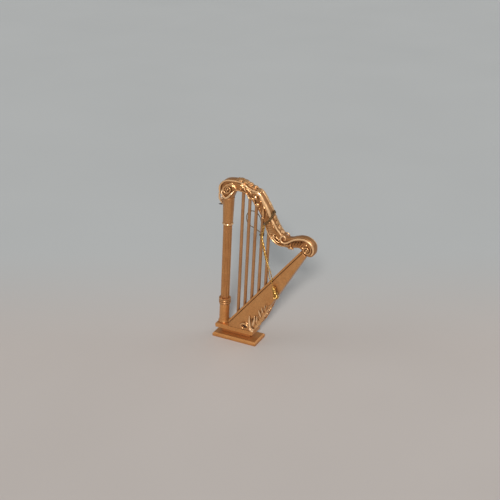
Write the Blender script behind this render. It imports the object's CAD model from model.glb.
"""A gilded ornamental harp on a stepped base, with a gold cord and tassel.

x runs from the column (front) to the soundbox and shoulder (back), left is -y, z is up.
Shapes are written in millimetres, build() turns them into metres.
"""
import math
import bmesh
import bpy
import numpy as np
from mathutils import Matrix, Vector


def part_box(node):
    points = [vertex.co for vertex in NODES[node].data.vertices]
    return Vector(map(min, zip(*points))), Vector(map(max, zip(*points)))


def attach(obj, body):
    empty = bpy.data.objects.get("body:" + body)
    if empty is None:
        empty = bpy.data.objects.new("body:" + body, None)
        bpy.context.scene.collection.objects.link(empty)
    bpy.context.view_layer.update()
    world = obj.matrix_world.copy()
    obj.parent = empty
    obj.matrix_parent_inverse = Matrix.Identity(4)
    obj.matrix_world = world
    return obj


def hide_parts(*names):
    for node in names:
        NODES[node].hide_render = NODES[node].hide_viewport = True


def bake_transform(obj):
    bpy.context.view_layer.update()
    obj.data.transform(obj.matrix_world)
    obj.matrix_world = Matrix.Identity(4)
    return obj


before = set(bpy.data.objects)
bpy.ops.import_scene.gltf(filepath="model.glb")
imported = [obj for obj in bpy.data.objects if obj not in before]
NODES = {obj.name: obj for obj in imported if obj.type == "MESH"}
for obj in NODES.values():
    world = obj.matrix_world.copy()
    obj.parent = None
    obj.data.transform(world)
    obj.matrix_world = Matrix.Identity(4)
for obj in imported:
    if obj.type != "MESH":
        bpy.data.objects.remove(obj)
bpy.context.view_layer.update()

MM = 0.001
rng = np.random.default_rng(7)

# ---- driving dimensions, mm
DECK_TOP = float(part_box("base_deck")[1][2] / MM)
LEAN = math.radians(2.95)                     # column and strings lean back from upright
LEAN_AXIS = np.array([math.sin(LEAN), 0, math.cos(LEAN)])
BOARD_SLOPE = math.radians(50.1)              # soundboard above the horizontal
BOARD_X, BOARD_Z = -5.4, 19.5                 # lower end of the soundboard
BOARD_TOP = np.array([60.54, 98.37])          # soundbox's upper front corner, (x, z)
BACK_TOP = np.array([65.26, 94.43])           # soundbox's upper back corner, (x, z)
FRONT_X, BACK_X = -6.0, 16.6                  # soundbox on the deck
FACE_Y = -2.7                                 # where leaves lie on the neck's left face
LEFTWARD = (0, -1, 0)


# ====================================================================== materials
def rgba(colour):
    """A colour with full alpha, from three values or one grey value."""
    return (*colour, 1.0) if isinstance(colour, tuple) else (colour, colour, colour, 1.0)


class Shader:
    """A new material with a Principled surface, and short ways to add nodes to it."""

    def __init__(self, name):
        self.material = bpy.data.materials.new(name)
        self.material.use_nodes = True
        self.tree = self.material.node_tree
        self.tree.nodes.clear()
        output = self.node("ShaderNodeOutputMaterial")
        self.surface = self.node("ShaderNodeBsdfPrincipled")
        self.fill(output, {"Surface": self.surface.outputs["BSDF"]})

    def fill(self, node, inputs):
        for key, value in inputs.items():
            if isinstance(value, bpy.types.NodeSocket):
                self.tree.links.new(value, node.inputs[key])
            else:
                node.inputs[key].default_value = value

    def node(self, kind, inputs=None, **settings):
        node = self.tree.nodes.new(kind)
        for key, value in settings.items():
            setattr(node, key, value)
        self.fill(node, inputs or {})
        return node

    def place(self):
        return self.node("ShaderNodeTexCoord").outputs["Object"]

    def noise(self, scale, detail=3.0, rough=0.55, distort=0.0, stretch=None):
        place = self.place()
        if stretch:
            mapping = self.node("ShaderNodeMapping", {"Vector": place, "Scale": stretch})
            place = mapping.outputs["Vector"]
        return self.node("ShaderNodeTexNoise", {
            "Vector": place, "Scale": scale, "Detail": detail,
            "Roughness": rough, "Distortion": distort}).outputs["Fac"]

    def ramp(self, factor, low, high):
        """low and high are (position, colour or grey)."""
        node = self.node("ShaderNodeValToRGB", {"Fac": factor})
        for element, (position, colour) in zip(node.color_ramp.elements, (low, high)):
            element.position = position
            element.color = rgba(colour)
        return node.outputs["Color"]

    def mix(self, factor, first, second, blend="MIX"):
        # 0, 6 and 7 are the factor and colour inputs of an RGBA mix, output 2 its colour
        return self.node("ShaderNodeMix", {0: factor, 6: first, 7: second},
                         data_type="RGBA", blend_type=blend).outputs[2]

    def bump(self, height, strength, distance, under=None):
        inputs = {"Strength": strength, "Distance": distance, "Height": height}
        if under is not None:
            inputs["Normal"] = under
        return self.node("ShaderNodeBump", inputs).outputs["Normal"]

    def crevice(self, distance, dark, bright):
        """1 in open places, 0 deep in hollows."""
        node = self.node("ShaderNodeAmbientOcclusion", {"Distance": distance}, samples=6)
        return self.ramp(node.outputs["AO"], low=(dark, 0.0), high=(bright, 1.0))


def gilt(name, light, mid, deep, rough=0.36, metallic=0.6, grain=1.0, coat=0.12, brush=None):
    """Gold paint: mottled tone, darker toning held in the hollows, fine brushed grain."""
    sh = shader = Shader(name)
    mottle = sh.noise(scale=95.0, detail=4.0, rough=0.6, distort=0.4)
    tone = sh.ramp(mottle, low=(0.30, mid), high=(0.70, light))
    fine = sh.noise(scale=900.0, rough=0.6)
    speck = sh.ramp(fine, low=(0.36, 0.86), high=(0.62, 1.06))
    tone = sh.mix(1.0, tone, speck, blend="MULTIPLY")
    hollow = sh.crevice(distance=0.0022, dark=0.25, bright=0.80)
    colour = sh.mix(hollow, rgba(deep), tone)
    sheen = sh.noise(scale=420.0, detail=4.0, rough=0.6)
    roughness = sh.ramp(sheen, low=(0.3, rough - 0.07), high=(0.7, rough + 0.09))
    grains = sh.noise(scale=1900.0, detail=2.0, rough=0.6, stretch=brush)
    normal = sh.bump(grains, strength=0.22 * grain, distance=0.00006)
    waves = sh.noise(scale=330.0, rough=0.5)
    normal = sh.bump(waves, strength=0.30 * grain, distance=0.00016, under=normal)
    sh.fill(sh.surface, {"Base Color": colour, "Metallic": metallic, "Roughness": roughness,
                         "Coat Weight": coat, "Coat Roughness": 0.28, "Normal": normal})
    return shader.material


def metal_thread(name, light, deep, rough):
    shader = Shader(name)
    tone = shader.ramp(shader.noise(scale=700.0, rough=0.6), low=(0.35, deep), high=(0.62, light))
    hollow = shader.crevice(distance=0.0012, dark=0.35, bright=0.92)
    shadow = (deep[0] * 0.35, deep[1] * 0.28, deep[2] * 0.25)
    colour = shader.mix(hollow, rgba(shadow), tone)
    fibres = shader.noise(scale=3600.0, detail=2.0, rough=0.7)
    shader.fill(shader.surface, {
        "Base Color": colour, "Metallic": 0.92, "Roughness": rough, "Anisotropic": 0.4,
        "Normal": shader.bump(fibres, strength=0.5, distance=0.00008)})
    return shader.material


def wood(name):
    shader = Shader(name)
    grain = shader.noise(scale=160.0, detail=5.0, rough=0.6, distort=0.8, stretch=(0.15, 1.0, 1.0))
    shader.fill(shader.surface, {
        "Base Color": shader.ramp(grain, low=(0.3, (0.34, 0.20, 0.09)),
                                  high=(0.7, (0.55, 0.37, 0.20))),
        "Roughness": 0.72,
        "Normal": shader.bump(grain, strength=0.3, distance=0.0001)})
    return shader.material


def steel(name):
    shader = Shader(name)
    grain = shader.noise(scale=1500.0, rough=0.6, stretch=(1.0, 1.0, 0.05))
    shader.fill(shader.surface, {
        "Base Color": shader.ramp(grain, low=(0.3, (0.45, 0.45, 0.46)),
                                  high=(0.7, (0.62, 0.62, 0.63))),
        "Metallic": 1.0, "Roughness": 0.34,
        "Normal": shader.bump(grain, strength=0.2, distance=0.00004)})
    return shader.material


BODY = gilt("gilt_body_paint", light=(0.60, 0.29, 0.105), mid=(0.50, 0.225, 0.075),
            deep=(0.16, 0.045, 0.012))
BOARD = gilt("gilt_board_paint", light=(0.62, 0.30, 0.105), mid=(0.53, 0.235, 0.075),
             deep=(0.17, 0.048, 0.012), rough=0.40, grain=1.3)
RUBBED = gilt("gilt_rubbed_paint", light=(0.98, 0.63, 0.32), mid=(0.86, 0.49, 0.21),
              deep=(0.20, 0.06, 0.015), rough=0.27, metallic=0.82, grain=0.35, coat=0.7)
CARVED = gilt("gilt_carved_paint", light=(0.92, 0.54, 0.25), mid=(0.68, 0.34, 0.12),
              deep=(0.12, 0.030, 0.007), rough=0.28, metallic=0.74, grain=0.5, coat=0.5)
STRING = gilt("gilt_string_paint", light=(0.50, 0.25, 0.105), mid=(0.41, 0.195, 0.078),
              deep=(0.14, 0.045, 0.015), rough=0.42, metallic=0.5, brush=(1.0, 1.0, 0.08))
BASE = gilt("gilt_base_paint", light=(0.70, 0.32, 0.10), mid=(0.60, 0.255, 0.075),
            deep=(0.17, 0.046, 0.012))
NECK = gilt("gilt_neck_paint", light=(0.52, 0.24, 0.082), mid=(0.43, 0.185, 0.057),
            deep=(0.13, 0.034, 0.008))
RAIL = gilt("gilt_rail_worn", light=(1.0, 0.63, 0.32), mid=(0.90, 0.53, 0.25),
            deep=(0.24, 0.075, 0.02), rough=0.32, metallic=0.70, grain=0.25, coat=0.6)
WORN = gilt("gilt_worn_high", light=(1.0, 0.68, 0.38), mid=(0.90, 0.53, 0.25),
            deep=(0.18, 0.05, 0.012), rough=0.27, metallic=0.66, grain=0.3, coat=0.9)
PLINTH = gilt("gilt_shadowed_paint", light=(0.46, 0.17, 0.045), mid=(0.38, 0.135, 0.034),
              deep=(0.10, 0.028, 0.008), rough=0.5, metallic=0.25, coat=0.0)
TONING = gilt("dark_toning", light=(0.055, 0.022, 0.009), mid=(0.035, 0.013, 0.005),
              deep=(0.02, 0.007, 0.003), rough=0.75, metallic=0.1, coat=0.0)
THREAD = metal_thread("gold_thread", light=(1.0, 0.68, 0.22), deep=(0.48, 0.20, 0.03), rough=0.32)
DULL_THREAD = metal_thread("gold_thread_dull", light=(0.36, 0.24, 0.11),
                           deep=(0.17, 0.105, 0.045), rough=0.45)
WOOD = wood("raw_block_wood")
STEEL = steel("plain_steel")


# ====================================================================== lines
def unit(vectors):
    vectors = np.asarray(vectors, float)
    return vectors / np.maximum(np.linalg.norm(vectors, axis=-1, keepdims=True), 1e-12)


def distances(line):
    """Length run along a line, at each of its points."""
    return np.concatenate([[0], np.cumsum(np.linalg.norm(np.diff(line, axis=0), axis=1))])


def graded(where, stations):
    """Values read from (position, value) stations, at an array or at so many steps over 0 to 1."""
    if isinstance(where, int):
        where = np.linspace(0, 1, where)
    return np.interp(where, *zip(*stations))


def curve(points, count):
    """A smooth centripetal curve through the points, with count evenly spaced points."""
    points = np.asarray(points, float)
    ends = 2 * points[0] - points[1], 2 * points[-1] - points[-2]
    padded = np.vstack([ends[0], points, ends[1]])

    def blend(at, start, end, first, second):
        return (end - at) / (end - start) * first + (at - start) / (end - start) * second

    dense = []
    for i in range(len(points) - 1):
        quad = padded[i:i + 4]
        gaps = np.maximum(np.linalg.norm(np.diff(quad, axis=0), axis=1), 1e-6) ** 0.5
        knots = np.concatenate([[0], np.cumsum(gaps)])
        at = np.linspace(knots[1], knots[2], 20, endpoint=False)[:, None]
        one = [blend(at, knots[k], knots[k + 1], quad[k], quad[k + 1]) for k in range(3)]
        two = [blend(at, knots[k], knots[k + 2], one[k], one[k + 1]) for k in range(2)]
        dense.append(blend(at, knots[1], knots[2], *two))
    dense = np.vstack(dense + [points[-1:]])
    run = distances(dense)
    steps = np.linspace(0, run[-1], count)
    return np.stack([np.interp(steps, run, column) for column in dense.T], 1)


def at_y(line, y):
    """An (x, z) line as (x, y, z)."""
    line = np.asarray(line, float)
    return np.stack([line[:, 0], np.broadcast_to(y, len(line)), line[:, 1]], 1)


def spiral(centre, start_radius, end_radius, start_angle, turns, count, power=1.0):
    """(x, z) points of a spiral; angle in degrees, turns > 0 runs from +x towards +z."""
    step = np.linspace(0, 1, count)
    angle = math.radians(start_angle) + 2 * math.pi * turns * step
    radius = start_radius + (end_radius - start_radius) * step ** power
    return np.stack([centre[0] + radius * np.cos(angle), centre[1] + radius * np.sin(angle)], 1)


def around(centre, axes, amounts):
    """Points at the given amounts along three axes from a centre."""
    return centre + sum(np.outer(amount, axis) for amount, axis in zip(amounts, axes))


def moving_frame(line, flat):
    """Tangent and two normals along a line; flat keeps the second normal nearest to y."""
    tangent = unit(np.gradient(line, axis=0))
    if flat:
        side = unit(np.cross([0, 1, 0], tangent))
        return tangent, side, np.cross(tangent, side)
    side = np.zeros_like(tangent)
    start = np.array([0.0, 0.0, 1.0] if abs(tangent[0][2]) < 0.9 else [1.0, 0.0, 0.0])
    carried = unit(start - tangent[0] * float(start @ tangent[0]))
    for i, along in enumerate(tangent):
        carried = unit(carried - along * float(carried @ along))
        side[i] = carried
    return tangent, side, np.cross(tangent, side)


def circle(count):
    return np.linspace(0, 2 * math.pi, count, endpoint=False)


# ====================================================================== parts
# A part is (vertices, faces).
def wall_faces(levels, count, first=0):
    """Quads between stacked rings of count points."""
    return [(low + j, low + (j + 1) % count, low + count + (j + 1) % count, low + count + j)
            for low in range(first, first + (levels - 1) * count, count) for j in range(count)]


def skin(rings, start_pole, end_pole):
    """Closed skin over rings of equal count, with an end point at each side."""
    count = len(rings[0])
    last = 1 + (len(rings) - 1) * count
    faces = [(0, 1 + (j + 1) % count, 1 + j) for j in range(count)]
    faces += wall_faces(len(rings), count, first=1)
    faces += [(last + j, last + (j + 1) % count, last + count) for j in range(count)]
    return np.vstack([start_pole, *rings, end_pole]), faces


def slab(rings):
    """Closed part over stacked rings, with a flat face at each end."""
    count = len(rings[0])
    last = (len(rings) - 1) * count
    faces = [tuple(range(count))] + wall_faces(len(rings), count)
    faces.append(tuple(last + j for j in reversed(range(count))))
    return np.vstack(rings), faces


def tube(line, radius, second=None, flat=False, seg=14, cap=3, section=1.0):
    """A round-ended tube. second is the radius along the second normal.

    section scales the radii, by point and by angle."""
    line = np.asarray(line, float)
    count = len(line)
    radius = np.broadcast_to(np.asarray(radius, float), (count,))
    second = radius if second is None else np.broadcast_to(second, (count,))
    tangent, side, up = moving_frame(line, flat)
    section = np.broadcast_to(section, (count, seg))
    cosine, sine = np.cos(circle(seg)) * section, np.sin(circle(seg)) * section

    def ring(i, scale=1.0, shift=0.0):
        across = radius[i] * cosine[i][:, None] * side[i] + second[i] * sine[i][:, None] * up[i]
        return line[i] + tangent[i] * shift + scale * across

    start, end = min(radius[0], second[0]), min(radius[-1], second[-1])
    turns = [j / (cap + 1) * math.pi / 2 for j in range(1, cap + 1)]
    rings = [ring(0, math.cos(turn), -start * math.sin(turn)) for turn in reversed(turns)]
    rings += [ring(i) for i in range(count)]
    rings += [ring(-1, math.cos(turn), end * math.sin(turn)) for turn in turns]
    return skin(rings, line[0] - tangent[0] * start, line[-1] + tangent[-1] * end)


def face_tube(line, y, radius, seg, second=None, section=1.0):
    """A tube along an (x, z) line at y; second is its radius along y."""
    return tube(at_y(line, y), radius, second, flat=True, seg=seg, section=section)


def rope(line, radius, pitch, seg):
    """The two strands of a cord twisted round a line."""
    line = np.asarray(line, float)
    _, side, up = moving_frame(line, flat=False)
    strand = radius * 0.53
    parts = []
    for k in range(2):
        angle = 2 * math.pi * (distances(line) / pitch + k / 2)
        twist = np.cos(angle)[:, None] * side + np.sin(angle)[:, None] * up
        parts.append(tube(line + (radius - strand) * twist, strand, seg=seg, cap=2))
    return parts


def ball(centre, radius, squash=(1, 1, 1)):
    seg, levels = 20, 12
    angle = circle(seg)
    rings = []
    for i in range(1, levels):
        rise = math.pi * i / levels
        ring = [np.cos(angle) * math.sin(rise) * squash[0],
                np.sin(angle) * math.sin(rise) * squash[1],
                np.full(seg, -math.cos(rise)) * squash[2]]
        rings.append(np.stack(ring, 1) * radius + centre)
    pole = np.array([0, 0, radius * squash[2]])
    return skin(rings, centre - pole, centre + pole)


def leaf(midrib, normal, width, lobes=5, depth=0.45, rise=1.0, base=0.5, curl=0.0, rows=56,
         columns=15, sweep=0.55, ribs=0.16, start=0.35, tip=0.02, belly=0.38, blunt=False):
    """An acanthus leaf along a midrib, standing off a surface, closed below it.

    depth is how far the edge is cut between lobes, sweep pushes the edge forwards, curl lifts
    the tip, base is how deep the underside lies; start, belly and tip shape the outline.
    """
    midrib = curve(midrib, rows)
    run = np.linspace(0, 1, rows)
    normal = np.asarray(normal, float)
    if normal.ndim > 1:
        given = np.linspace(0, 1, len(normal))
        normal = np.stack([np.interp(run, given, column) for column in normal.T], 1)
    normal = np.broadcast_to(unit(normal), midrib.shape)
    tangent = unit(np.gradient(midrib, axis=0))
    normal = unit(normal - tangent * (normal * tangent).sum(1)[:, None])
    side = np.cross(tangent, normal)

    run = run[:, None]
    across = np.linspace(-1, 1, columns)[None, :]
    out = np.abs(across)
    swell = start + (1 - start) * np.clip(run / belly, 0, 1) ** 0.8
    outline = swell * np.clip((1 - run) / (1 - belly), 0, 1) ** 0.62
    half = width * np.maximum(outline, tip)
    phase = lobes * run ** 0.92 + 0.08
    edge = 1 - depth * (1 - np.abs(np.sin(math.pi * phase)) ** 0.7)
    ends = 1.0 if blunt else np.minimum(1, run / 0.12) * 0.6 + 0.4
    lift = rise * ends * np.clip((1 - run) / 0.10, 0.15, 1)
    tip_lift = curl * np.maximum(0.0, (run - 0.62) / 0.38) ** 2

    reach = across * half * (1 - (1 - edge) * out ** 2.2)
    forward = sweep * half * out ** 1.6 * 0.6
    height = lift * ((1 - out ** 2.4) * 0.62 + 0.38 * np.exp(-(across / 0.13) ** 2))
    height += (ribs * lift * out ** 0.6 * (1 - out ** 6)
               * np.cos(2 * math.pi * (phase - 0.35 * out)))
    height += tip_lift

    def sheet(reach, height):
        return (midrib[:, None] + side[:, None] * reach[..., None]
                + tangent[:, None] * forward[..., None] + normal[:, None] * height[..., None])

    vertices = np.vstack([sheet(reach, np.maximum(height, 0.02)).reshape(-1, 3),
                          sheet(reach * 0.94, -base + tip_lift).reshape(-1, 3)])
    low = rows * columns
    faces = []
    for i in range(rows - 1):
        for j in range(columns - 1):
            here = i * columns + j
            ahead = here + columns
            faces.append((here, here + 1, ahead + 1, ahead))
            faces.append((low + here, low + ahead, low + ahead + 1, low + here + 1))
        here = i * columns
        faces.append((here, here + columns, low + here + columns, low + here))
        here += columns - 1
        faces.append((here, low + here, low + here + columns, here + columns))
    for j in range(columns - 1):
        end = (rows - 1) * columns + j
        faces.append((j, low + j, low + j + 1, j + 1))
        faces.append((end, end + 1, low + end + 1, low + end))
    return vertices, faces


# Leaf shapes used in several places.
PLAIN = dict(lobes=1, ribs=0.0, sweep=0.0)
PETAL = dict(PLAIN, rows=18, columns=11, belly=0.62)


def inward(outline):
    """Unit vectors pointing into a closed (x, z) outline."""
    ahead, behind = np.roll(outline, -1, axis=0), np.roll(outline, 1, axis=0)
    area = np.sum(outline[:, 0] * ahead[:, 1] - ahead[:, 0] * outline[:, 1])
    tangent = unit(ahead - behind)
    return np.stack([-tangent[:, 1], tangent[:, 0]], 1) * (1 if area > 0 else -1)


def eased_edge(radius, start):
    """(inset, depth) steps of a rounded edge that begins at depth start."""
    angles = [math.pi / 2 * k / 5 for k in range(6)]
    return [(radius * (1 - math.sin(angle)), start + radius * (1 - math.cos(angle)))
            for angle in angles]


# ====================================================================== building
def build(name, layers, replaces, slot="gilt_bright", body="root", sharp=55):
    """Turns layers, a list of (material, parts), into one piece on a body."""
    vertices, faces, indices = [], [], []
    count = 0
    for index, (_, parts) in enumerate(layers):
        for part_vertices, part_faces in parts:
            faces += [tuple(corner + count for corner in face) for face in part_faces]
            indices += [index] * len(part_faces)
            vertices.append(part_vertices)
            count += len(part_vertices)
    mesh = bpy.data.meshes.new(name)
    mesh.from_pydata([tuple(point) for point in np.vstack(vertices) * MM], [], faces)
    mesh.polygons.foreach_set("material_index", indices)
    work = bmesh.new()
    work.from_mesh(mesh)
    bmesh.ops.remove_doubles(work, verts=work.verts, dist=2e-7)
    bmesh.ops.dissolve_degenerate(work, edges=work.edges, dist=1e-8)
    bmesh.ops.recalc_face_normals(work, faces=work.faces)
    work.to_mesh(mesh)
    work.free()
    mesh.shade_smooth()
    mesh.set_sharp_from_angle(angle=math.radians(sharp))
    piece = bpy.data.objects.new(name, mesh)
    bpy.context.scene.collection.objects.link(piece)
    for material, _ in layers:
        mesh.materials.append(material)
    if body:
        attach(piece, body)
    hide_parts(*replaces)
    return piece


def build_pair(name, layers, replaces, **options):
    """Builds a piece of the left side and its mirror image on the right."""
    flip = np.array([1, -1, 1])
    mirrored = [(material, [(vertices * flip, [tuple(reversed(face)) for face in faces])
                            for vertices, faces in parts]) for material, parts in layers]
    build(name + "_l", layers, [node + "_left" for node in replaces], **options)
    build(name + "_r", mirrored, [node + "_right" for node in replaces], **options)


# ====================================================================== CAD pieces that stay
KEPT = [
    (BASE, ("base_plate", "base_deck", "column_pedestal")),
    (BODY, ("column_collar", "column_shaft", "column_capital")),
    (PLINTH, ("base_plinth",)),
    (BOARD, ("soundbox_back", "soundboard")),
    (RUBBED, ("column_astragal",)),
    (STRING, tuple("string_%d" % k for k in range(1, 6))),
    (WOOD, ("soundbox_foot_block", "soundbox_top_block", "string_rib", "shoulder_pin")),
    (STEEL, ("base_screws", "column_rod")),
]
SOFT_EDGES = {"base_plate": 0.25, "base_deck": 0.3, "base_plinth": 0.3, "soundboard": 0.35}


def dress_kept_pieces():
    for material, names in KEPT:
        for name in names:
            NODES[name].data.materials.clear()
            NODES[name].data.materials.append(material)
    for name, width in SOFT_EDGES.items():
        weld = NODES[name].modifiers.new("weld", "WELD")
        weld.merge_threshold = 1e-6
        bevel = NODES[name].modifiers.new("soft_edges", "BEVEL")
        bevel.width = width * MM
        bevel.segments = 3
        bevel.limit_method = "ANGLE"
        bevel.angle_limit = math.radians(40)
        bevel.harden_normals = False


# ====================================================================== soundbox walls
def half_width(x, z):
    """Half the soundbox's width, tapering from 7 mm along the 102.8 mm soundboard."""
    along = (x - BOARD_X) * math.cos(BOARD_SLOPE) + (z - BOARD_Z) * math.sin(BOARD_SLOPE)
    return 7.0 - 3.0 * along / 102.8


def on_wall(points, out):
    """(x, z) points laid on the soundbox's left side, standing out from it."""
    outs = np.broadcast_to(out, len(points))
    return np.array([(x, -(half_width(x, z) + one), z) for (x, z), one in zip(points, outs)])


def side_wall(gap, inset, thick, setback):
    """One flat wall with eased edges. gap is left under the board, setback at the front."""
    board_z = BOARD_Z + (FRONT_X - BOARD_X) * math.tan(BOARD_SLOPE)
    front_x = FRONT_X + setback
    front_z = board_z + setback * math.tan(BOARD_SLOPE) - gap / math.cos(BOARD_SLOPE)
    down = np.array([math.sin(BOARD_SLOPE), -math.cos(BOARD_SLOPE)])
    corners = np.array([(front_x, DECK_TOP), (front_x, front_z), BOARD_TOP + down * gap,
                        BACK_TOP, (BACK_X, DECK_TOP)])
    outline = []
    for corner, following in zip(corners, np.roll(corners, -1, axis=0)):
        steps = max(2, int(np.linalg.norm(following - corner) / 0.8))
        outline += [corner + (following - corner) * k / steps for k in range(steps)]
    outline = np.array(outline)[::-1]
    inwards = inward(outline)
    rings = []
    for edge, depth in eased_edge(0.45, inset) + [(0.0, inset + thick)]:
        ring = outline + inwards * edge
        rings.append(at_y(ring, -(half_width(ring[:, 0], ring[:, 1]) - depth)))
    return slab(rings)


def soundbox_walls():
    wall = side_wall(gap=1.98, inset=0.0, thick=1.6, setback=0.0)
    ledge = side_wall(gap=1.55, inset=0.85, thick=1.2, setback=0.5)
    build_pair("soundbox_wall", [(BOARD, [wall, ledge])], ["soundbox_side"],
               slot="gilt_body", sharp=30)


# ====================================================================== neck and rails
# Neck outline, (x, z): the lower edge from shoulder to head, then the upper edge back.
NECK_LOWER = [
    (60.2, 99.3), (58.0, 100.2), (54.4, 99.6), (49.6, 98.2), (45.4, 98.6), (41.6, 98.7),
    (37.8, 99.7), (34.2, 101.9), (31.2, 104.6), (28.6, 109.6), (25.8, 117.4), (22.9, 122.8),
    (19.2, 128.9), (15.4, 133.6), (11.8, 138.0), (8.0, 140.2), (4.0, 140.8), (0.6, 140.4),
    (-1.9, 137.6), (-4.2, 133.2)]
NECK_UPPER = [
    (-8.4, 131.6), (-12.6, 133.0), (-15.2, 137.4), (-15.8, 142.0), (-13.6, 146.2), (-9.8, 148.9),
    (-5.0, 150.2), (0.0, 150.7), (4.6, 150.4), (8.5, 149.2), (12.2, 147.3), (15.8, 145.5),
    (19.2, 143.9), (22.0, 141.9), (24.4, 139.1), (26.4, 136.2), (28.8, 132.4), (31.4, 128.0),
    (33.9, 123.6), (36.1, 119.5), (38.6, 115.2), (41.0, 111.7), (43.6, 109.0), (46.8, 107.4),
    (50.4, 107.5), (54.6, 109.0), (59.6, 110.4), (64.2, 110.1), (68.2, 108.3), (71.2, 105.2),
    (72.6, 101.4), (72.2, 97.6), (70.2, 94.9), (67.9, 94.0)]
NECK_HALF = 2.75

# Rail line, (x, z), and its stations by x: radius, and how square the section is.
RAIL_LINE = [
    (-14.7, 136.6), (-15.3, 139.4), (-14.9, 142.8), (-13.2, 145.6), (-10.4, 147.8), (-6.8, 148.9),
    (-2.9, 149.3), (0.7, 149.5), (4.0, 149.2), (6.6, 148.3), (9.0, 147.1), (11.4, 145.6),
    (13.7, 144.5), (16.1, 143.8), (18.4, 143.4), (20.4, 142.8), (22.2, 141.3), (24.1, 138.3),
    (26.3, 134.5), (28.7, 130.9), (30.8, 127.1), (32.4, 123.7), (33.9, 120.4), (36.2, 117.0),
    (38.5, 113.5), (40.8, 110.8), (42.2, 109.2)]
RAIL_RADII = [
    (-15.3, 0.95), (-14, 0.85), (-8, 0.72), (2, 0.78), (13, 0.8), (18, 0.85), (21, 1.15),
    (24.5, 1.5), (28, 1.5), (31, 1.25), (33.2, 1.0), (34.6, 1.2), (36.5, 0.95), (40, 0.8),
    (42.2, 0.7)]
RAIL_SQUARE = [(-16, 0.0), (12, 0.1), (20.5, 1.0), (33, 1.0), (37, 0.25), (43, 0.0)]

# S-scroll of the shoulder, (x, z): from the open curl over the shoulder.
SHOULDER_LINE = [
    (45.9, 105.4), (46.5, 106.9), (45.6, 108.3), (43.9, 108.7), (42.4, 107.7), (41.8, 105.9),
    (42.2, 104.0), (43.6, 102.8), (45.6, 102.5), (47.4, 103.1), (49.4, 104.3), (52.8, 106.5),
    (56.2, 108.0), (60.4, 108.9), (64.2, 108.6), (67.7, 107.1), (70.0, 104.9), (71.2, 102.0),
    (71.0, 98.9), (69.6, 96.4)]


def neck_core():
    line = curve([tuple(BOARD_TOP)] + NECK_LOWER + NECK_UPPER + [tuple(BACK_TOP)], 420)
    outline = np.vstack([line, (BACK_TOP + BOARD_TOP) / 2])
    steps = eased_edge(0.6, -NECK_HALF)
    steps += [(inset, -y) for inset, y in reversed(steps)]
    inwards = inward(outline)
    plate = slab([at_y(outline + inwards * inset, y) for inset, y in steps])
    build("neck_core", [(NECK, [plate])], ["neck"], slot="gilt_body", sharp=70)


def neck_rails():
    """Rounded mouldings along both upper edges, swelling in the middle of the neck."""
    seg = 28
    line = curve(RAIL_LINE, 260)
    radius = graded(line[:, 0], RAIL_RADII)
    # a rounded square, turned so that one flat faces out and up
    angle, power = circle(seg) + math.radians(32), 3.4
    square = 1.06 * (np.abs(np.cos(angle)) ** power + np.abs(np.sin(angle)) ** power) ** (-1 / power)
    section = 1 + (square - 1)[None, :] * graded(line[:, 0], RAIL_SQUARE)[:, None]
    rail = face_tube(line, -3.45, radius, seg, second=np.minimum(radius, 1.1), section=section)
    build_pair("neck_rail", [(RAIL, [rail])], ["neck_rail"])


def shoulder_rails():
    count = 230
    radius = graded(count, [(0, 0.5), (0.06, 0.72), (0.2, 0.85), (0.4, 0.8), (0.62, 0.95),
                            (0.85, 1.0), (1, 0.65)])
    y = graded(count, [(0, -3.9), (0.15, -3.9), (0.4, -3.5), (1, -3.4)])
    rail = face_tube(curve(SHOULDER_LINE, count), y, radius, seg=24, second=radius * 0.95)
    build_pair("shoulder_rail", [(RAIL, [rail])], ["shoulder_rail", "shoulder_curl"])


# ====================================================================== volutes
# Coil of the head's volute, (x, z), from its tail to its eye.
HEAD_COIL = [
    (-0.6, 143.0), (-2.0, 144.2), (-4.2, 144.8), (-7.0, 144.6), (-9.6, 143.6), (-11.5, 141.6),
    (-11.8, 139.7), (-10.9, 138.1), (-9.1, 137.3), (-7.2, 137.8), (-5.6, 139.2), (-5.1, 141.0),
    (-5.8, 142.5), (-7.4, 143.0), (-8.9, 142.3), (-9.4, 141.0), (-8.8, 139.9), (-7.9, 139.7)]
SHOULDER_EYE = (65.4, 99.9)
VOLUTE_Y = (-3.1, -3.9)       # a volute rises from the face towards its eye


def volute(line, radii):
    radius = graded(len(line), radii)
    y = np.linspace(*VOLUTE_Y, len(line))
    return face_tube(line, y, radius, seg=16, second=radius * 1.05)


def head_volutes():
    crest = [(-8.8, 144.2), (-6.0, 145.2), (-3.0, 144.8), (-0.6, 143.2), (0.6, 140.9)]
    parts = [
        volute(curve(HEAD_COIL, 190), [(0, 0.55), (0.12, 1.15), (0.4, 1.0), (0.75, 0.7), (1, 0.45)]),
        ball((-7.35, -3.9, 141.2), 0.95, (1, 0.9, 1)),
        leaf(at_y(crest, -2.9), LEFTWARD, width=2.3, lobes=4, depth=0.3, rise=1.7, base=0.6,
             rows=60)]
    build_pair("head_volute", [(CARVED, parts)], ["head_volute"])


def shoulder_volutes():
    eye_x, eye_z = SHOULDER_EYE
    coil = spiral(SHOULDER_EYE, start_radius=3.9, end_radius=0.9, start_angle=35, turns=-1.55,
                  count=90, power=0.85)
    parts = [volute(coil, [(0, 0.5), (0.12, 0.85), (0.6, 0.7), (1, 0.4)]),
             ball((eye_x, -3.8, eye_z), 1.0, (1, 0.9, 1))]
    for degrees in (100, 160, 215):
        cosine, sine = math.cos(math.radians(degrees)), math.sin(math.radians(degrees))
        spoke = [(eye_x + reach * cosine, y, eye_z + reach * sine)
                 for reach, y in ((3.0, -2.8), (4.4, -3.2), (5.4, -2.9))]
        parts.append(leaf(spoke, LEFTWARD, width=1.0, lobes=1, depth=0.1, rise=0.6, rows=16,
                          columns=9))
    build_pair("shoulder_volute", [(CARVED, parts)], ["shoulder_volute"])


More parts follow.
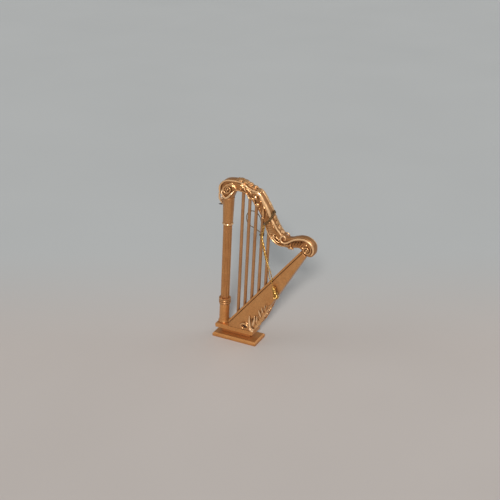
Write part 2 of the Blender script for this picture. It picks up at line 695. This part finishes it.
# ====================================================================== scrollwork on the neck
def scroll(points, ends_y, radii, count):
    """A swelling moulding on the left face; radii are start, middle and end."""
    start, middle, end = radii
    radius = graded(count, [(0, start), (0.35, middle), (0.7, middle * 0.9), (1, end)])
    y = graded(count, [(0, ends_y[0]), (0.5, min(ends_y) - 0.2), (1, ends_y[1])])
    return face_tube(curve(points, count), y, radius, seg=12, second=radius * 1.05)


def side_leaf(points, width, lobes, rise, lift=0.0, **shape):
    """A leaf on the left face; lift raises it above the face."""
    return leaf(at_y(points, FACE_Y - lift), LEFTWARD, width, lobes, rise=rise, base=0.9 + lift,
                **shape)


def lower_mouldings():
    """The moulding along the neck's lower edge, in two falls."""
    return [
        scroll([(-3.0, 138.9), (-1.2, 140.9), (1.6, 141.6), (5.0, 141.5), (8.4, 140.9),
                (11.2, 139.0), (12.9, 136.6), (14.6, 135.6)],
               ends_y=(-2.9, -3.0), radii=(0.5, 0.75, 0.55), count=120),
        scroll([(27.2, 115.6), (28.6, 111.8), (30.2, 108.2), (32.2, 105.2), (34.6, 102.6),
                (37.6, 100.6), (41.0, 99.5), (44.4, 99.5), (47.6, 100.6), (50.8, 101.0)],
               ends_y=(-2.9, -3.0), radii=(0.45, 0.75, 0.5), count=150)]


def head_leaves():
    """Leaves running down under the rail from the head."""
    return [
        side_leaf([(1.6, 147.2), (4.6, 146.6), (6.9, 144.9), (8.7, 142.8), (9.8, 140.2)],
                  width=1.7, lobes=4, rise=1.5, lift=0.2, depth=0.3, belly=0.45),
        side_leaf([(2.4, 142.2), (4.2, 143.2), (5.4, 144.6), (5.6, 146.6)],
                  width=1.2, lobes=3, rise=0.9, depth=0.3),
        side_leaf([(8.4, 145.8), (11.4, 143.6), (13.6, 141.4), (15.2, 138.4)],
                  width=1.8, lobes=4, rise=1.3, lift=0.1, depth=0.4)]


def knobs():
    """The wave over the round knobs, and their leaves."""
    return [
        scroll([(10.8, 139.9), (11.7, 137.4), (13.2, 136.1), (14.9, 137.2), (16.3, 136.6),
                (17.4, 134.6), (17.6, 132.4), (18.9, 130.6)],
               ends_y=(-3.3, -3.4), radii=(0.5, 0.8, 0.5), count=110),
        side_leaf([(12.2, 141.0), (15.4, 141.4), (18.6, 140.9), (21.6, 138.9)],
                  width=1.6, lobes=4, rise=1.0, depth=0.4),
        ball((18.3, -3.3, 138.0), 1.75, (1.0, 0.75, 1.15)),
        leaf(at_y([(16.0, 139.6), (18.2, 139.2), (19.6, 137.6), (20.2, 135.6)], -3.9), LEFTWARD,
             width=1.0, lobes=2, depth=0.2, rise=0.8, base=0.6, rows=30, columns=9),
        ball((20.5, -3.4, 132.1), 2.05, (1, 0.85, 1)),
        ball((20.5, -4.9, 132.2), 0.6, (1, 0.8, 1)),
        side_leaf([(20.8, 136.8), (23.0, 136.0), (24.4, 133.6), (25.0, 130.6)],
                  width=1.5, lobes=3, rise=1.2, lift=0.1, depth=0.35)]


def hanging_bud():
    """The bud hanging among leaves."""
    bud = [(25.3, 129.6), (25.35, 128.0), (25.4, 126.0), (25.4, 124.0), (25.4, 122.2)]
    return [
        face_tube(bud, -3.2, [0.5, 1.15, 1.45, 1.35, 0.9], seg=18),
        ball((25.4, -3.7, 121.4), 0.95),
        side_leaf([(22.0, 129.4), (22.5, 126.8), (23.4, 124.2), (24.3, 121.6)],
                  width=1.1, lobes=3, rise=1.0, depth=0.25),
        side_leaf([(27.6, 131.2), (28.1, 127.4), (28.4, 123.6), (28.0, 119.4)],
                  width=1.3, lobes=4, rise=1.2, lift=0.1, depth=0.35),
        side_leaf([(24.6, 132.0), (27.2, 129.0), (29.4, 125.4), (30.6, 121.2)],
                  width=1.5, lobes=4, rise=0.8, depth=0.4)]


def ribbed_band():
    """The ring boss, the ribs below it and the leaf beside them."""
    ring = spiral((30.3, 117.3), start_radius=0.85, end_radius=0.85, start_angle=0, turns=1,
                  count=40)
    parts = [face_tube(ring, -2.85, 0.32, seg=10)]
    radius = graded(24, [(0, 0.25), (0.5, 0.48), (1, 0.25)])
    for k in range(5):
        z = 115.1 - 1.55 * k
        rib = [(27.4 + 0.55 * k, z - 0.2), (30.4 + 0.5 * k, z + 0.2), (33.4 + 0.4 * k, z + 0.1)]
        parts.append(face_tube(curve(rib, 24), -2.75, radius, seg=10))
    parts.append(side_leaf([(31.6, 121.4), (33.2, 117.6), (35.6, 113.8), (38.4, 110.2)],
                           width=1.2, lobes=5, rise=0.9, depth=0.4))
    return parts


def c_scroll():
    """The C-scroll beneath the shoulder's curl, and its leaves."""
    coil = spiral((36.2, 108.2), start_radius=0.4, end_radius=1.5, start_angle=20, turns=0.72,
                  count=22)
    tail = [(34.7, 106.4), (35.9, 104.6), (37.7, 103.0), (40.2, 101.8)]
    return [
        scroll(np.vstack([coil, tail]), ends_y=(-3.4, -3.5), radii=(0.4, 0.9, 0.5), count=110),
        side_leaf([(36.4, 106.6), (38.6, 105.0), (40.0, 103.4), (41.0, 101.2)],
                  width=1.1, lobes=3, rise=1.0, depth=0.3),
        side_leaf([(31.6, 108.8), (32.6, 106.0), (34.4, 103.4), (37.2, 101.8)],
                  width=1.2, lobes=4, rise=1.0, depth=0.4),
        side_leaf([(42.6, 101.6), (45.2, 100.8), (47.6, 101.6), (49.6, 103.0)],
                  width=1.2, lobes=3, rise=1.0, depth=0.3)]


def gadroons():
    """Slanting gadroons under the shoulder, and the three balls below them."""
    parts = []
    for k in range(5):
        x, z = 49.5 + 2.5 * k, 100.8 + 0.3 * k
        line = [(x, z), (x + 1.1, z + 2.0), (x + 2.6, z + 3.6 + 0.15 * k),
                (x + 4.0, z + 4.6 + 0.25 * k)]
        parts.append(side_leaf(line, width=1.25, rise=1.75, depth=0.05, belly=0.45, rows=30,
                               columns=9, **PLAIN))
    return parts + [ball((51.1, -3.0, 99.2), 1.3, (1, 1, 1.05)),
                    ball((49.4, -3.0, 98.3), 0.75), ball((52.8, -3.0, 98.6), 0.75)]


def neck_scrollwork():
    parts = (lower_mouldings() + head_leaves() + knobs() + hanging_bud() + ribbed_band()
             + c_scroll() + gadroons())
    build_pair("neck_scrollwork", [(CARVED, parts)], ["neck_acanthus"])


# ====================================================================== leaves over the neck
HIGH_LEAF_LINE = [(0.3, 150.4), (4.6, 150.1), (8.5, 149.0), (12.2, 147.2), (15.8, 145.4),
                  (19.2, 143.9), (21.6, 142.4)]
LOW_LEAF_LINE = [(33.9, 123.9), (35.4, 120.8), (36.9, 117.8), (38.6, 115.1), (40.8, 112.0),
                 (42.6, 109.9)]
FLOWER_CENTRES = [(12.9, 147.0), (17.1, 145.3)]


def laid_leaf(line, width, pairs, rise):
    """A thin bed, pairs of overlapping leaflets running out and forwards, and a midrib."""
    count = 120
    last = count - 1
    first_at, last_at = 0.06, 0.86        # where the first and last leaflets spring
    line = curve(line, count)
    length = distances(line)[-1]
    tangent = unit(np.gradient(line, axis=0))
    line = at_y(line, 0)
    up = at_y(np.stack([-tangent[:, 1], tangent[:, 0]], 1), 0)
    parts = [leaf(line, up, width, lobes=1, depth=0.0, rise=rise * 0.55, base=0.8, rows=60,
                  columns=13, start=1.0, belly=0.55, ribs=0.0, blunt=True, tip=0.2)]
    for k in range(pairs):
        root = first_at + (last_at - first_at) * k / (pairs - 1)
        reach = width * (1.0 - 0.35 * root)
        for side in (-1, 1):
            points = []
            for step in (0.0, 0.35, 0.7, 1.0):
                at = min(last, int((root + 0.20 * step) * last))
                height = rise * (0.42 + 0.55 * math.sin(math.pi * min(1.0, 0.25 + 0.62 * step)))
                out = np.array([0, side, 0]) * (0.15 + 0.93 * reach * step)
                points.append(line[at] + out + up[at] * height * 0.6)
            parts.append(leaf(points, up[int(root * last)], length / pairs * 0.58, depth=0.0,
                              rise=rise * 0.42, base=0.9, rows=22, columns=9, belly=0.5,
                              start=0.5, **PLAIN))
    middle = slice(5, 112)
    parts.append(tube(line[middle] + up[middle] * rise * 0.72,
                      0.42 - 0.22 * np.linspace(0, 1, 107), seg=10))
    return parts


def neck_flower(x, z):
    centre = np.array([x, 0, z])
    along, side, up = np.array([(0.88, 0, -0.47), (0, 1, 0), (0.47, 0, 0.88)])
    parts = []
    for k in range(5):
        angle = math.radians(72 * k + 20)
        ray = along * math.cos(angle) + side * math.sin(angle)
        points = [centre + ray * reach + up * height
                  for reach, height in ((0.2, 1.15), (1.0, 1.6), (1.9, 1.4))]
        parts.append(leaf(points, up, width=0.85, depth=0.0, rise=0.45, base=1.2, **PETAL))
    return parts + [ball(centre + up * 1.75, 0.55)]


def neck_leaves():
    high = laid_leaf(HIGH_LEAF_LINE, width=2.75, pairs=5, rise=1.25)
    for x, z in FLOWER_CENTRES:
        high += neck_flower(x, z)
    # an arched bar across the neck at the leaf's start
    bar = [(0.75, y, 150.75 - 0.012 * y * y) for y in np.linspace(-2.55, 2.55, 15)]
    high.append(tube(bar, 0.62, seg=14))
    build("neck_leaf_high", [(CARVED, high)], ["neck_leaf_upper"], slot="gilt_body")
    low = laid_leaf(LOW_LEAF_LINE, width=2.2, pairs=4, rise=0.95)
    build("neck_leaf_low", [(CARVED, low)], ["neck_leaf_lower"], slot="gilt_body")


# ====================================================================== capital garlands
# Garland lines, (x, y, z): the left half of the front one, and the left one.
FRONT_FALL = [(-15.0, -3.4, 137.6), (-15.6, -3.3, 135.7), (-15.9, -2.9, 133.5),
              (-15.8, -2.5, 131.2), (-15.2, -1.9, 129.0), (-14.6, -1.0, 127.4)]
SIDE_FALL = [(-12.7, -3.2, 140.6), (-12.9, -4.0, 138.2), (-12.6, -4.8, 136.6),
             (-11.3, -5.5, 135.2), (-9.8, -5.85, 134.1), (-8.2, -5.95, 133.8),
             (-6.6, -5.75, 134.7), (-5.2, -5.4, 136.2), (-3.8, -4.6, 137.8), (-2.2, -3.2, 139.6)]
# Balls below each side garland, (x, y, z), radius.
SIDE_BALLS = [((-12.8, -4.0, 132.0), 0.75), ((-12.9, -4.1, 133.5), 0.6)]


def swapped(point, side):
    """The point itself for side 1, its mirror image for side -1."""
    x, y, z = point
    return x, y * side, z


def garland(points, end_radius, middle_radius):
    """A swag of three-lobed section, twisting along its line."""
    count = 150
    line = curve(points, count)
    swell = np.sin(math.pi * np.linspace(0, 1, count)) ** 0.8
    radius = end_radius + (middle_radius - end_radius) * swell
    tangent, side, up = moving_frame(line, flat=False)
    angle = circle(24)
    rings = []
    for i, run in enumerate(distances(line)):
        lobed = 1 + 0.10 * np.cos(3 * (angle - 0.42 * run))
        across = ((np.cos(angle) * lobed)[:, None] * side[i]
                  + (np.sin(angle) * lobed)[:, None] * up[i])
        rings.append(line[i] + radius[i] * across)
    return skin(rings, line[0] - tangent[0] * radius[0] * 0.8,
                line[-1] + tangent[-1] * radius[-1] * 0.8)


def capital_garlands():
    line = FRONT_FALL + [(-14.35, 0.0, 126.9)] + [swapped(p, -1) for p in FRONT_FALL[::-1]]
    drop = leaf([(-13.4, -0.2, 125.9), (-15.0, -0.4, 125.5), (-16.6, -0.6, 125.2),
                 (-18.0, -0.8, 125.2)], (-0.2, -0.9, 0.3), width=0.75, lobes=2, depth=0.2,
                rise=0.45, base=0.45, rows=30, columns=9, start=0.8, tip=0.3)
    swag = [garland(line, end_radius=0.72, middle_radius=0.98), ball((-14.3, 0.0, 126.2), 1.0)]
    build("capital_garland_front", [(WORN, swag), (TONING, [drop])], ["capital_swag_front"])
    for suffix, word, side in (("l", "left", 1), ("r", "right", -1)):
        line = [swapped(point, side) for point in SIDE_FALL]
        swag = [garland(line, end_radius=0.5, middle_radius=0.84)]
        swag += [ball(swapped(centre, side), radius) for centre, radius in SIDE_BALLS]
        build("capital_garland_" + suffix, [(WORN, swag), (TONING, [])], ["capital_swag_" + word])


# ====================================================================== leaf foot
# Standing ribs: (x, z) line, root radius, tip radius.
CLAWS = [
    ([(15.4, 15.4), (14.9, 18.9), (14.6, 23.0), (14.6, 27.6)], 1.3, 0.34),
    ([(17.9, 19.4), (18.7, 22.4), (19.5, 25.6), (19.8, 28.9)], 1.0, 0.28),
    ([(21.4, 23.6), (21.7, 26.4), (22.0, 29.2)], 0.78, 0.22),
    ([(25.0, 29.8), (24.2, 32.4), (23.5, 35.5)], 0.92, 0.25),
    ([(27.2, 33.6), (26.7, 36.0), (26.4, 38.5)], 0.7, 0.2),
    ([(29.6, 37.6), (29.3, 39.8), (29.3, 41.8)], 0.48, 0.15)]
# Pairs of leaflets between the ribs: root x, root z, reach, scale.
BLADES = [(16.8, 16.6, 3.6, 1.0), (19.9, 20.0, 3.2, 0.95), (22.8, 24.8, 3.0, 0.9),
          (25.8, 29.4, 2.8, 0.8), (28.4, 33.8, 2.5, 0.7), (30.6, 38.0, 2.1, 0.6)]
SPINE = [(17.4, 13.4), (21.0, 18.4), (25.0, 25.0), (28.6, 31.8), (31.6, 37.6), (34.2, 43.0)]
DECK_CURL = [(15.4, 13.6), (14.0, 15.2), (13.4, 17.0), (11.6, 18.5), (9.4, 18.9), (7.3, 18.2),
             (6.2, 16.6), (6.6, 14.9), (8.2, 13.8), (10.0, 13.7)]
CURL_LEAF = [(12.8, 14.2), (13.4, 17.0), (12.0, 19.4), (9.4, 20.6)]
# Leaves up the back: distance up the back edge, width, height.
BACK_LEAVES = [(1.6, 3.2, 1.3), (8.6, 2.8, 1.0), (15.6, 2.3, 0.8), (22.4, 1.8, 0.6)]


def foot_leaf(points, out=0.1, **shape):
    return leaf(on_wall(points, out), (0.03, -1, 0.03), **shape)


def blade(points, width, rise, out):
    """One plain, full leaflet with a sharp ridge."""
    return foot_leaf(points, out, width=width, depth=0.0, rise=rise, base=0.6, rows=30,
                     columns=11, belly=0.42, start=0.4, **PLAIN)


def claw(points, root, tip):
    """A standing rib, rising from the side of the soundbox and leaning out."""
    outs = [0.2] + [0.75] * (len(points) - 2) + [0.95]
    radius = root + (tip - root) * np.linspace(0, 1, 40) ** 2.0
    return tube(curve(on_wall(points, outs), 40), radius, seg=12)


def corner_flower():
    x, z = 16.9, 14.9
    parts = []
    for degrees in (20, 75, 130, 190, 250, 310):
        cosine, sine = math.cos(math.radians(degrees)), math.sin(math.radians(degrees))
        points = [(x, -7.7, z), (x + 1.4 * cosine, -8.5, z + 1.4 * sine),
                  (x + 2.7 * cosine, -8.3, z + 2.3 * sine)]
        parts.append(leaf(points, LEFTWARD, width=0.95, depth=0.05, rise=0.55, **PETAL))
    return parts + [ball((x, -8.5, 14.8), 0.9)]


def foot_leaves():
    leaves = []
    for x, z, reach, scale in BLADES:
        leaves.append(blade([(x - 0.4, z - 0.6), (x - 0.3, z + reach), (x + 0.1, z + 2 * reach),
                             (x + 0.9, z + 2.7 * reach)], 1.15 * scale, 1.0 * scale, out=0.1))
        leaves.append(blade([(x + 0.8, z + 0.2), (x + 1.5, z + 0.9 * reach),
                             (x + 2.1, z + 1.7 * reach), (x + 3.1, z + 2.3 * reach)],
                            0.95 * scale, 0.85 * scale, out=0.3))
    leaves.append(foot_leaf(SPINE, width=1.7, lobes=7, rise=0.55, depth=0.25, rows=100, ribs=0.2))
    leaves.append(face_tube(curve(DECK_CURL, 100),
                            graded(100, [(0, -7.4), (0.3, -7.9), (1, -7.1)]),
                            graded(100, [(0, 0.9), (0.3, 1.05), (0.7, 0.85), (1, 0.5)]), seg=14))
    leaves.append(foot_leaf(CURL_LEAF, width=0.9, lobes=2, rise=0.7, depth=0.2, rows=30,
                            columns=9))
    worn = [claw(*row) for row in CLAWS] + corner_flower()
    # dark toning paint lies in the curl's hollow
    hollow = ball(on_wall([(10.0, 16.2)], -0.25)[0], 2.6, (1.25, 0.17, 0.8))
    build_pair("foot_leaves", [(CARVED, leaves), (WORN, worn), (TONING, [hollow])],
               ["foot_acanthus"])


def back_leaves():
    rise, run = BACK_TOP[1] - DECK_TOP, BACK_TOP[0] - BACK_X
    outward, upward = unit([rise, 0, -run]), unit([run, 0, rise])
    foot = np.array([BACK_X, 0, DECK_TOP])
    bed = [foot + upward * at for at in (1.0, 9.0, 18.0, 27.0, 34.0)]
    parts = [leaf(bed, outward, width=5.4, lobes=7, depth=0.35, rise=0.9, base=0.35, rows=110,
                  columns=21, start=0.9, belly=0.25, ribs=0.35)]
    for at, width, height in BACK_LEAVES:
        line = [foot + upward * at + outward * 0.6,
                foot + upward * (at + 3.5) + outward * (0.6 + height * 0.6),
                foot + upward * (at + 7) + outward * (0.5 + height)]
        parts.append(leaf(line, outward, width, lobes=3, depth=0.3, rise=0.6, base=0.8, rows=40,
                          columns=13, start=0.7, curl=0.2))
    build("foot_leaves_back", [(CARVED, parts)], ["foot_acanthus_back"])


# ====================================================================== cord
# Cord lines, (x, y, z).
NECK_TURN = np.array([
    (25.3, 0.3, 115.2), (25.3, 2.6, 115.2), (26.0, 4.5, 115.8), (28.6, 5.2, 118.4),
    (31.0, 5.3, 122.0), (32.4, 4.95, 125.8), (33.0, 2.9, 127.2), (33.3, 0, 126.9),
    (33.6, -2.9, 126.1), (33.7, -4.9, 124.5), (31.4, -5.3, 121.2), (28.6, -5.2, 118.4),
    (26.0, -4.4, 115.8), (25.3, -2.4, 115.2), (25.3, -0.3, 115.2)])
NECK_TURN_STEP = np.array([0.5, 0, -0.87]) * 1.2
THICK_CORD = [
    (26.7, -4.3, 115.6), (26.5, -4.45, 113.2), (25.8, -3.8, 110.4), (24.7, -2.95, 107.6),
    (24.1, -2.75, 105.2), (24.0, -2.6, 102.5), (24.5, -2.65, 100.0), (25.5, -2.8, 95.8),
    (26.6, -3.05, 91.4), (27.5, -3.3, 87.9), (28.3, -3.45, 85.6)]
LOOP = [
    (22.8, 3.3, 104.3), (20.6, 3.15, 104.3), (18.0, 3.0, 105.6), (15.2, 2.85, 107.4),
    (12.2, 2.7, 108.5), (8.7, 2.6, 110.7), (7.0, 2.5, 115.0), (8.0, 2.4, 120.0),
    (12.0, 2.35, 123.1), (16.6, 2.35, 122.2), (19.8, 2.45, 118.6), (20.9, 2.65, 113.5),
    (21.4, 2.9, 109.0), (22.2, 3.15, 106.4), (22.75, 3.3, 104.6)]
LONG_TAIL = [(28.9, -3.65, 84.4), (29.4, -3.75, 83.2), (30.84, -4.0, 78.96), (32.63, -4.5, 75.34),
             (34.13, -5.25, 71.74), (35.2, -6.1, 69.05), (35.3, -6.45, 66.9)]
SHORT_TAIL = [(28.5, -3.7, 84.2), (28.8, -3.75, 82.6), (30.1, -3.85, 78.3), (31.3, -4.4, 74.0),
              (32.2, -5.5, 70.0), (33.6, -6.45, 67.4), (34.2, -6.6, 66.2)]
KNOT_CENTRE = np.array([28.5, -3.6, 84.9])
THIN_CORD = dict(radius=0.42, pitch=1.5, seg=7)
# The tie round the fourth string: its height, and its rise above where string x is given.
STRING_X, STRING_PITCH = 1.5, 6.3
TIE_Z, TIE_RISE, TIE_RADIUS = 104.0, 44.0, 1.82


def cord_turns():
    """Two turns round the neck."""
    parts = []
    for k in range(2):
        parts += rope(curve(NECK_TURN + NECK_TURN_STEP * k, 170), **THIN_CORD)
    build("cord_turns", [(DULL_THREAD, parts)], ["cord_wrap"], slot="gold_cord")


def thick_cord():
    """From under the neck, past the tie, to the knot; it rides no single body."""
    return build("cord_thick", [(THREAD, rope(curve(THICK_CORD, 300), 1.12, pitch=6.4, seg=12))],
                 ["cord", "cord_upper"], slot="gold_cord", body=None)


def cord_tie():
    centre = np.array([STRING_X + 3 * STRING_PITCH + TIE_RISE * math.tan(LEAN), 0, TIE_Z])
    angle = np.linspace(0, 2 * math.pi * 2.1, 110)
    axes = unit(np.cross([0, 1, 0], LEAN_AXIS)), [0, 1, 0], LEAN_AXIS
    line = around(centre, axes, (np.cos(angle) * TIE_RADIUS, np.sin(angle) * TIE_RADIUS,
                                 np.linspace(-0.45, 0.45, 110)))
    build("cord_tie_turns", [(DULL_THREAD, rope(line, 0.34, pitch=1.4, seg=8))], ["cord_tie"],
          slot="gold_cord")


def hanging_loop():
    parts = rope(curve(LOOP, 420), **THIN_CORD) + [ball(np.array(LOOP[0]), 0.62)]
    build("cord_hanging_loop", [(DULL_THREAD, parts)], ["cord_loop"], slot="gold_cord",
          body="cord_loop_body")


def cord_knot():
    """A trefoil of cord."""
    angle = np.linspace(0, 2 * math.pi, 150)
    trefoil = np.stack([np.sin(angle) + 2 * np.sin(2 * angle), -np.sin(3 * angle) * 1.1,
                        np.cos(angle) - 2 * np.cos(2 * angle)], 1) * 0.36
    build("cord_knot_turns", [(THREAD, rope(KNOT_CENTRE + trefoil, 0.52, pitch=2.6, seg=8))],
          ["cord_knot"], slot="gold_cord", body="cord_body")


def cord_tails():
    parts = rope(curve(LONG_TAIL, 220), 0.46, pitch=2.9, seg=8)
    parts += rope(curve(SHORT_TAIL, 220), 0.44, pitch=2.9, seg=8)
    build("cord_tails", [(THREAD, parts)], ["cord_strands"], slot="gold_cord", body="cord_body")


# ====================================================================== tassel
BEAD = np.array([35.2, -6.55, 66.1])
HEAD = np.array([37.8, -7.65, 60.3])
SKIRT_AXIS = unit(np.array([41.3, -8.1, 51.9]) - HEAD)
SKIRT_SIDE = unit(np.cross(SKIRT_AXIS, [0, 1, 0]))
TASSEL_AXES = (SKIRT_AXIS, SKIRT_SIDE, np.cross(SKIRT_AXIS, SKIRT_SIDE))


def build_tassel(name, parts, node):
    build(name, [(THREAD, parts)], [node], slot="gold_cord", body="tassel_body")


def tassel_top():
    """The small knot and the cord down to the tassel's head."""
    angle = np.linspace(0, 4 * math.pi, 150)
    coil = np.stack([np.cos(angle), np.sin(angle), np.linspace(-1.2, 1.2, 150)], 1)
    knot = rope(BEAD + 0.3 * coil, 0.42, pitch=1.4, seg=7) + [ball(BEAD, 0.62)]
    build_tassel("tassel_top_knot", knot, "tassel_bead")
    neck = rope(curve([BEAD, (36.2, -7.1, 63.9), HEAD], 60), **THIN_CORD)
    build_tassel("tassel_neck_cord", neck, "tassel_stem")


def tassel_head():
    """Nine slanting strands over a ball."""
    parts = []
    run = np.linspace(-0.1, 1.1, 40)
    for k in range(9):
        radius = 1.55 * np.sin(math.pi * np.clip(run * 0.86 + 0.07, 0.02, 0.98))
        radius = radius + 0.12 * rng.normal() * np.sin(math.pi * run)
        angle = 2 * math.pi * k / 9 + run * 2.6
        line = around(HEAD, TASSEL_AXES,
                      ((run - 0.5) * 3.3, radius * np.cos(angle), radius * np.sin(angle)))
        parts.append(tube(line, 0.42, seg=8))
    build_tassel("tassel_head_knot", parts + [ball(HEAD, 1.35)], "tassel_head")


def tassel_skirt():
    """64 wavy threads, bound by three turns at the top."""
    parts = []
    run = np.linspace(0, 1, 26)

    def wobble():
        return 0.34 * np.sin(run * rng.uniform(10, 17) + rng.uniform(0, 6)) * run

    for _ in range(64):
        angle = rng.uniform(0, 2 * math.pi)
        top = rng.uniform(0.2, 1.2)
        bottom = min(top * rng.uniform(1.5, 2.3), 2.5)
        length = rng.uniform(6.6, 9.0)
        first_wobble = wobble()
        second_wobble = wobble()
        radius = top + (bottom - top) * run ** 0.8
        line = around(HEAD, TASSEL_AXES,
                      (0.9 + run * length, radius * math.cos(angle) + first_wobble,
                       radius * math.sin(angle) + second_wobble))
        parts.append(tube(line, 0.2, seg=6, cap=1))
    turn = np.linspace(0, 2 * math.pi * 3, 90)
    binding = around(HEAD, TASSEL_AXES, (1.6 + turn / (2 * math.pi) * 0.42,
                                         1.28 * np.cos(turn), 1.28 * np.sin(turn)))
    parts.append(tube(binding, 0.27, seg=8))
    build_tassel("tassel_threads", parts, "tassel_skirt")


# ====================================================================== stage, metres
def floor_paper():
    """Warm near the front, cooler towards the far side."""
    shader = Shader("floor_paper")
    warm = shader.ramp(shader.noise(scale=6.0, detail=2.0, rough=0.5),
                       low=(0.3, (0.585, 0.535, 0.505)), high=(0.7, (0.605, 0.555, 0.525)))
    cool = shader.ramp(shader.noise(scale=4.0, detail=2.0, rough=0.5),
                       low=(0.3, (0.53, 0.545, 0.548)), high=(0.7, (0.55, 0.565, 0.568)))
    away = shader.node("ShaderNodeVectorMath", {0: shader.place(), 1: (-0.456, 0.890, 0.0)},
                       operation="DOT_PRODUCT").outputs["Value"]
    far = shader.node("ShaderNodeMapRange", {"From Min": -0.04, "From Max": 0.20, "Value": away},
                      interpolation_type="SMOOTHSTEP").outputs["Result"]
    shader.fill(shader.surface, {"Base Color": shader.mix(far, warm, cool), "Roughness": 0.85,
                                 "Specular IOR Level": 0.2})
    return shader.material


def floor():
    count, radius = 96, 6.0
    rim = [(radius * math.cos(angle), radius * math.sin(angle), 0) for angle in circle(count)]
    mesh = bpy.data.meshes.new("floor")
    mesh.from_pydata([(0, 0, 0)] + rim, [], [(0, 1 + k, 1 + (k + 1) % count) for k in range(count)])
    disc = bpy.data.objects.new("floor", mesh)
    bpy.context.scene.collection.objects.link(disc)
    mesh.materials.append(floor_paper())


def studio_world(scene):
    """A pale surround, brighter to the camera than as a light."""
    world = bpy.data.worlds.new("studio")
    scene.world = world
    world.use_nodes = True
    tree = world.node_tree
    background = tree.nodes["Background"]
    background.inputs["Color"].default_value = (0.80, 0.85, 0.88, 1)
    rays = tree.nodes.new("ShaderNodeLightPath")
    strength = tree.nodes.new("ShaderNodeMapRange")
    strength.inputs["To Min"].default_value = 0.24
    strength.inputs["To Max"].default_value = 0.52
    tree.links.new(rays.outputs["Is Camera Ray"], strength.inputs["Value"])
    tree.links.new(strength.outputs["Result"], background.inputs["Strength"])


def sun(name, towards, spread, power, colour):
    """A sun seen in direction towards; spread in degrees."""
    light = bpy.data.lights.new(name, "SUN")
    light.angle = math.radians(spread)
    light.energy = power
    light.color = colour
    lamp = bpy.data.objects.new(name, light)
    bpy.context.scene.collection.objects.link(lamp)
    lamp.rotation_mode = "QUATERNION"
    lamp.rotation_quaternion = Vector(towards).to_track_quat("Z", "Y")
    lamp.location = Vector(towards) * 1.2


def lights():
    sun("key", towards=(0.332, -0.795, 0.508), spread=8.0, power=2.3, colour=(1.0, 0.97, 0.93))
    sun("fill_left", towards=(-0.70, -0.42, 0.58), spread=40.0, power=0.30,
        colour=(0.95, 0.97, 1.0))
    sun("top", towards=(0.05, 0.15, 1.0), spread=50.0, power=0.34, colour=(1.0, 0.98, 0.96))
    sun("back_right", towards=(0.62, 0.60, 0.50), spread=40.0, power=0.30,
        colour=(1.0, 0.97, 0.94))


def camera(scene):
    azimuth, elevation = math.radians(27.132), math.radians(25.064)
    lens = bpy.data.cameras.new("camera")
    lens.sensor_width = 36.0
    lens.lens = 66.96
    lens.clip_start, lens.clip_end = 0.01, 30.0
    view = bpy.data.objects.new("camera", lens)
    scene.collection.objects.link(view)
    backward = Vector((math.sin(azimuth) * math.cos(elevation),
                       -math.cos(azimuth) * math.cos(elevation), math.sin(elevation)))
    view.rotation_mode = "QUATERNION"
    view.rotation_quaternion = (-backward).to_track_quat("-Z", "Y")
    view.location = (0.33955, -0.64019, 0.42406)
    scene.camera = view


# ====================================================================== assembly
dress_kept_pieces()
soundbox_walls()
neck_core()
neck_rails()
shoulder_rails()
head_volutes()
shoulder_volutes()
neck_scrollwork()
neck_leaves()
capital_garlands()
foot_leaves()
back_leaves()
cord_turns()
cord = thick_cord()
cord_tie()
hanging_loop()
cord_knot()
cord_tails()
tassel_top()
tassel_head()
tassel_skirt()
# the thick cord turns over from the fixed part to the hanging part at its hinge
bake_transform(cord)

scene = bpy.context.scene
floor()
studio_world(scene)
lights()
scene.view_settings.view_transform = "Standard"
scene.view_settings.look = "None"
scene.view_settings.exposure = 0.0
camera(scene)
